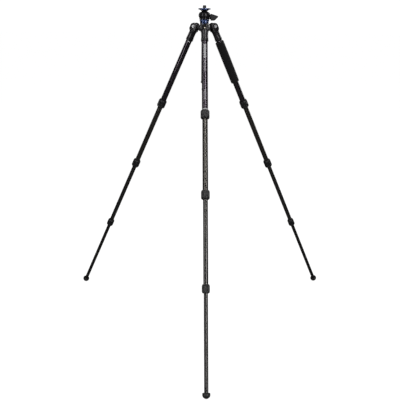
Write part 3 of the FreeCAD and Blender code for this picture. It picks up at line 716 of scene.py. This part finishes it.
def make_tab(side):
    """The pull-out tab: rounded, ribbed for a fingertip, with a pin near its lip coloured cream as a
    painted highlight.
    """
    outline = [
        (10.0, -14.5, 1.0),
        (18.8, -14.5),
        (18.8, -22.0, 1.2),
        (22.0, -19.0, 1.5),
        (22.0, 2.5, 1.5),
        (19.0, 5.5, 1.5),
        (14.0, 5.5, 1.2),
        (14.0, 0.75),
        (10.0, 0.75, 1.0),
    ]
    deep, clear, width = 21.3, 23.0, 1.3
    ribs = []
    for z in (-8.0, -4.6, -1.2):
        groove = [(deep, z), (clear, z), (clear, z + width), (deep, z + width)]
        ribs.append(prism(groove, -6.5, 6.5, 0))
    body = prism(outline, -8.8, 8.8, 0.7)
    place, rides = LEG[side], f"{side}_tab"
    node = f"{side}_angle_lock_tab"
    show(f"{side}_pull_tab", body, place, rides, TAB_BLACK, [node], cutters=ribs)
    # the pin's cream colour is a painted highlight
    pin = turned([(0, 21.2), (2.9, 21.2), (2.9, 22.3, 0.4), (1.4, 22.8, 0.8), (0, 22.8)], sides=48)
    bmesh.ops.transform(pin, matrix=Matrix.Rotation(math.pi / 2, 4, "Y"), verts=pin.verts)
    bmesh.ops.translate(pin, vec=Vector((0, 0, -16.2 * MM)), verts=pin.verts)
    show(f"{side}_tab_highlight_pin", pin, place, rides, CREAM_HIGHLIGHT)


def carry(node, material):
    """Gives a CAD node whose shape is right its finish."""
    piece = NODES[node]
    piece.data.materials.clear()
    piece.data.materials.append(material)


for leg in SIDES:
    for part in (1, 2, 3, 4):
        make_tube(leg, part)
    for part in (1, 2, 3):
        make_lock(leg, part)
        carry(f"{leg}_guide_shims_{part + 1}", SHIM)
    make_foot(leg)
    make_crown_ring(leg)
    make_crown(leg)
    make_tab(leg)
make_grip()
make_marks()


# ---- spider, column and head ----


def make_collar():
    """The two-tier blue collar, with grip notches round its upper tier."""
    low, high, radius = measure("column_lock_collar", HEAD)
    column = measure("centre_column", HEAD)[2]
    step = high - 9.0
    lower, bore, lip = 21.0, 17.6, 6.6
    outline = [
        (bore, low, 0.2),
        (lower - 1.0, low, 0.6),
        (lower, low + 1.2, 0.6),
        (lower, low + 6.0, 0.3),
        (lower - 0.5, low + 6.6, 0.2),
        (lower, low + 7.2, 0.3),
        (lower, step, 0.3),
        (radius - 0.8, step, 0.3),
        (radius, step + 0.9, 0.4),
        (radius, step + 3.0),
        (radius, high - 3.0),
        (radius, high - 1.2, 0.6),
        (radius - 1.2, high, 0.6),
        (column + 0.3, high, 0.3),
        (column + 0.3, high - lip),
        (bore, high - lip),
    ]
    form = ripple(36, 0.3, step + 0.4, high - 0.9, 1.2, 4.0)
    mesh = turned(outline, form, sides=288)
    show("column_collar", mesh, HEAD, "collar", BLUE, ["column_lock_collar"])


def make_column():
    """The centre column's tube and the rubber cap on its foot."""
    low, high, radius = measure("centre_column", HEAD)
    bore = radius - 1.5
    outline = [(bore, low, 0.3), (radius, low, 0.5), (radius, high, 0.3), (bore, high, 0.3)]
    show("column_tube", turned(outline), HEAD, "column", TUBES[1], ["centre_column"])
    low, high, radius = measure("column_end_cap", HEAD)
    lip = measure("centre_column", HEAD)[0]
    plug, hook_bore = 11.4, 2.35
    outline = [
        (hook_bore, low, 0.5),
        (radius - 1.8, low, 1.2),
        (radius, low + 1.8, 0.8),
        (radius, lip, 0.4),
        (plug, lip, 0.1),
        (plug, high, 0.6),
        (hook_bore, high, 0.3),
    ]
    form = ripple(20, 0.5, low + 1.0, lip, 1.5)
    mesh = turned(outline, form, sides=240)
    show("column_foot_cap", mesh, HEAD, "column", LOCK_RUBBER, ["column_end_cap"])


def make_head():
    """The top plate, pan ring, housing, ball, neck and platform, from the bottom up."""
    low, high, radius = measure("column_top_plate", HEAD)
    rim, plug = high - 3.9, 11.4
    outline = [
        (0, low),
        (plug, low, 0.5),
        (plug, rim, 0.2),
        (radius - 0.9, rim, 0.5),
        (radius, rim + 0.9, 0.5),
        (radius, high, 0.3),
        (0, high),
    ]
    show("top_plate", turned(outline), HEAD, "column", HEAD_BLACK, ["column_top_plate"])
    low, high, radius = measure("head_pan_base", HEAD)
    ring_top = high - 0.8
    bore, rib_inner, rib_outer = 20.9, 21.8, 23.0
    outline = [
        (bore, low, 0.2),
        (radius, low, 0.3),
        (radius, ring_top, 0.3),
        (rib_outer, ring_top, 0.1),
        (rib_outer, high, 0.1),
        (rib_inner, high, 0.1),
        (rib_inner, ring_top, 0.1),
        (bore, ring_top, 0.2),
    ]

    def graduated(angle, reach, height):
        """Fine lines, one every five degrees, cut into the ring's edge."""
        if reach < radius - 0.1 or height > ring_top - 0.4 or height < low + 0.4:
            return reach
        return reach - 0.3 * max(0.0, math.cos(72 * angle)) ** 8

    mesh = turned(outline, graduated, sides=576)
    show("pan_ring", mesh, HEAD, "column", HEAD_BLACK, ["head_pan_base"])
    make_housing()
    low, high, radius = measure("levelling_ball", HEAD)
    centre = high - radius
    outline = [(0, low), (math.sqrt(radius**2 - (centre - low) ** 2), low, 0.6)]
    rows = 33
    for i in range(1, rows):
        lean = math.asin((low - centre) / radius) * (1 - i / rows) + math.pi / 2 * (i / rows)
        outline.append((radius * math.cos(lean), centre + radius * math.sin(lean)))
    outline.append((0, high))
    show("ball", turned(outline), HEAD, "ball", HEAD_BLACK, ["levelling_ball"])
    low, high, radius = measure("ball_neck", HEAD)
    seat, rows = 22.1, 8  # just outside the ball
    outline = [(0, centre + seat)]
    for i in range(1, rows + 1):
        reach = math.sqrt(seat**2 - (low - centre) ** 2) * i / rows
        outline.append((reach, centre + math.sqrt(seat**2 - reach**2)))
    rim = radius - 0.6
    outline += [(15.4, low, 0.3), (18.4, low + 2.9, 0.6)]
    outline += [(rim, high - 0.8, 0.4), (rim, high, 0.3), (0, high)]
    # the neck's near-black blue is partly painted shade under the plate
    show("neck", turned(outline), HEAD, "neck", NAVY_AND_SHADE, ["ball_neck"])
    make_platform()


def make_housing():
    """The domed shell round the ball, with its boss, bored for the ball and the lock knob's screw."""
    high = measure("head_housing", HEAD)[1]
    low = measure("head_pan_base", HEAD)[1] - 0.5
    ball_high, ball = measure("levelling_ball", HEAD)[1:]
    centre = ball_high - ball
    seat, throat_drop, rows = ball + 0.08, 6.0, 12
    throat = centre - throat_drop
    bore = math.sqrt(seat**2 - throat_drop**2)
    base, widest, mouth = 24.2, 28.0, 18.6
    outline = [(bore, low, 0.3), (base, low, 0.4)]
    # each arc: its first radius and height, its last radius and height, and the arc's own radius
    arcs = ((base, low, widest, centre - 3.5, 13.0), (widest, centre + 2.5, mouth, high, 15.0))
    for x0, z0, x1, z1, radius in arcs:
        chord = Vector((x1 - x0, z1 - z0))
        side = Vector((-chord.y, chord.x)).normalized()
        offset = math.sqrt(max(radius**2 - (chord.length / 2) ** 2, 0))
        middle = Vector((x0, z0)) + chord / 2 + side * offset
        first = math.atan2(z0 - middle.y, x0 - middle.x)
        last = math.atan2(z1 - middle.y, x1 - middle.x)
        for i in range(1, rows):
            angle = first + (last - first) * i / rows
            outline.append((middle.x + radius * math.cos(angle), middle.y + radius * math.sin(angle)))
        outline.append((x1, z1))
    outline[-1] = (mouth, high, 0.7)
    outline.append((math.sqrt(seat**2 - (high - centre) ** 2), high, 0.3))
    for i in range(1, rows):
        lean = math.asin((high - centre) / seat) * (1 - i / rows)
        outline.append((seat * math.cos(lean), centre + seat * math.sin(lean)))
    outline += [(seat, centre), (bore, throat)]
    knob = centre - 8.2
    box_low, box_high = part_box("head_housing")
    reach = (box_high.x - HEAD.translation.x) / MM
    boss = cylinder_x(knob - (box_low.z - HEAD.translation.z) / MM, 24.6, reach, knob, bevel=0.8)
    hole = cylinder_x(2.58, 15.0, 31.0, knob)
    show(
        "domed_housing",
        turned(outline),
        HEAD,
        "head",
        HEAD_BLACK,
        ["head_housing"],
        joined=[boss],
        cutters=[hole],
    )


def make_platform():
    """The blue camera plate with its knurled edge and the recess in its top, the screw and its cap."""
    low, high, radius = measure("camera_platform", HEAD)
    bore = measure("camera_screw", HEAD)[2] + 0.02
    recess, recess_floor, screw_foot = 8.8, high - 0.6, high - 5.0
    outline = [
        (0, low),
        (radius - 1.6, low, 0.3),
        (radius - 0.4, low + 1.0, 0.5),
        (radius, low + 1.8, 0.3),
        (radius, low + 2.6),
        (radius, high - 2.4),
        (radius, high - 1.6, 0.3),
        (radius - 1.0, high - 0.3, 0.5),
        (radius - 3.0, high, 0.3),
        (21.0, high, 0.2),
        (20.6, high - 0.4, 0.2),
        (20.2, high, 0.2),
        (recess, high, 0.2),
        (recess, recess_floor),
        (bore, recess_floor),
        (bore, screw_foot),
        (0, screw_foot),
    ]
    form = ripple(90, 0.12, low + 1.2, high - 1.0, 1.0, 2.0)
    mesh = turned(outline, form, sides=480)
    show("camera_plate", mesh, HEAD, "platform", BLUE, ["camera_platform"])
    low, high, radius = measure("camera_screw", HEAD)
    outline = [(0, low)]
    pitch = 1.5875  # a quarter-inch camera thread's
    count = int((high - low - 1.2) / pitch)
    for i in range(count):
        z = low + i * pitch
        outline += [(radius, z + 0.1, 0.12), (radius - 0.75, z + pitch / 2, 0.12)]
    outline += [(radius, low + count * pitch + 0.1, 0.12), (radius - 1.1, high, 0.3), (0, high)]
    show("tripod_screw", turned(outline), HEAD, "platform", STEEL, ["camera_screw"])
    low, high, radius = measure("screw_cap", HEAD)
    inside = bore + 0.06
    outline = [
        (inside, low, 0.2),
        (radius - 0.5, low, 0.4),
        (radius, low + 0.8, 0.4),
        (radius, low + 2.0),
        (radius, high - 3.0),
        (radius, high - 1.6, 0.8),
        (radius - 1.6, high, 0.8),
        (0, high),
        (0, high - 3.2),
        (inside, high - 3.2),
    ]
    form = ripple(24, 0.4, low + 0.8, high - 2.0, 1.2, 1.5)
    mesh = turned(outline, form, sides=240)
    show("cap", mesh, HEAD, "cap", CAP_PLASTIC, ["screw_cap"])


def make_knob():
    """The wing-shaped lock knob: rounded all over, with a shallow panel in each flat side."""
    low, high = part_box("lock_knob")
    base = HEAD.translation
    x0, x1 = (low.x - base.x) / MM, (high.x - base.x) / MM
    z0, z1 = (low.z - base.z) / MM, (high.z - base.z) / MM
    half = (high.y - low.y) / 2 / MM
    middle = (z0 + z1) / 2
    outline = [
        (x0, z0, 2.5),
        (x0 + 18.7, z0, 4.0),
        (x1, middle, 2.5),
        (x1, middle + 5.0, 2.5),
        (x0, z1, 3.0),
    ]
    wing = prism(outline, -half, half, 2.2, steps=4)
    panel = [
        (x0 + 4.0, z0 + 4.0, 2.0),
        (x0 + 16.5, z0 + 4.0, 3.0),
        (x1 - 6.0, middle + 0.5, 2.0),
        (x1 - 6.5, middle + 3.0, 2.0),
        (x0 + 4.0, z1 - 5.0, 2.0),
    ]
    panels = [prism(panel, half - 0.8, half + 1.0, 0), prism(panel, -half - 1.0, -half + 0.8, 0)]
    hole = cylinder_x(2.5, x0 - 1.0, 44.0, middle)
    show(
        "wing_knob",
        wing,
        HEAD,
        "knob",
        KNOB_RUBBER,
        ["lock_knob"],
        cutters=[hole, *panels],
    )


make_collar()
make_column()
make_head()
make_knob()
carry("spider", CASTING_CARRIED)
carry("hinge_bolts", BOLT_STEEL)
carry("weight_hook", STEEL_CARRIED)
carry("lock_knob_screw", STEEL_CARRIED)


# ---- floor, light and camera ----


def make_floor():
    """A wide pale floor, which lights the object only a little."""
    mesh = bmesh.new()
    bmesh.ops.create_circle(mesh, cap_ends=True, segments=64, radius=60.0)
    data = bpy.data.meshes.new("floor")
    mesh.to_mesh(data)
    mesh.free()
    floor = bpy.data.objects.new("floor", data)
    bpy.context.scene.collection.objects.link(floor)
    made = bpy.data.materials.new("pale_floor")
    made.use_nodes = True
    nodes, links = made.node_tree.nodes, made.node_tree.links
    shader = nodes["Principled BSDF"]
    shader.inputs["Base Color"].default_value = (0.14, 0.14, 0.14, 1)
    shader.inputs["Roughness"].default_value = 1.0
    shader.inputs["Specular IOR Level"].default_value = 0.0
    seen = nodes.new("ShaderNodeLightPath")
    shader.inputs["Emission Color"].default_value = (1, 1, 1, 1)
    links.new(seen.outputs["Is Camera Ray"], shader.inputs["Emission Strength"])
    data.materials.append(made)


def make_world():
    """A white surround for the eye, nearly dark for the object."""
    world = bpy.data.worlds.new("studio")
    bpy.context.scene.world = world
    world.use_nodes = True
    nodes, links = world.node_tree.nodes, world.node_tree.links
    surround = nodes["Background"]
    seen = nodes.new("ShaderNodeLightPath")
    strength = nodes.new("ShaderNodeMapRange")
    strength.inputs["To Min"].default_value = 0.012
    strength.inputs["To Max"].default_value = 1.1
    surround.inputs["Color"].default_value = (1, 1, 1, 1)
    links.new(seen.outputs["Is Camera Ray"], strength.inputs["Value"])
    links.new(strength.outputs["Result"], surround.inputs["Strength"])


def add_softbox(name, place, target, width, height, power):
    """A rectangular light at a place, turned to face a target."""
    data = bpy.data.lights.new(name, "AREA")
    data.shape = "RECTANGLE"
    data.size = width
    data.size_y = height
    data.energy = power
    box = bpy.data.objects.new(name, data)
    box.location = place
    box.rotation_mode = "QUATERNION"
    box.rotation_quaternion = (Vector(target) - Vector(place)).to_track_quat("-Z", "Y")
    bpy.context.scene.collection.objects.link(box)


def make_camera():
    """The photograph's own view: its place, its slight turn and roll, and its long lens."""
    data = bpy.data.cameras.new("camera")
    data.lens, data.sensor_width, data.clip_end = 55.03, 36.0, 200.0
    eye = Vector((-0.0847, -2.8225, 1.5458))
    camera = bpy.data.objects.new("camera", data)
    pitch, yaw, roll = math.radians(16.810), math.radians(-1.335), math.radians(0.443)
    forward = Vector((-math.sin(yaw) * math.cos(pitch), math.cos(yaw) * math.cos(pitch), -math.sin(pitch)))
    right = Vector((math.cos(yaw), math.sin(yaw), 0))
    up = right.cross(forward)
    across = right * math.cos(roll) + up * math.sin(roll)
    above = up * math.cos(roll) - right * math.sin(roll)
    matrix = Matrix((across, above, -forward)).transposed().to_4x4()
    matrix.translation = eye
    camera.matrix_world = matrix
    bpy.context.scene.collection.objects.link(camera)
    bpy.context.scene.camera = camera


make_floor()
make_world()
add_softbox("softbox_left", (-2.3, -2.2, 2.6), (0, 0.1, 1.4), 0.5, 5.0, 62)
add_softbox("softbox_right", (1.55, -2.7, 2.6), (0, 0.1, 1.4), 0.3, 5.0, 105)
add_softbox("back_left", (-3.0, 2.4, 2.4), (0, 0.1, 1.0), 0.8, 4.0, 18)
add_softbox("back_right", (3.0, 2.4, 2.4), (0, 0.1, 1.0), 0.8, 4.0, 40)
add_softbox("overhead", (0, 0.4, 4.5), (0, 0.2, 0), 3.0, 3.0, 30)
make_camera()
bpy.context.scene.view_settings.view_transform = "Standard"
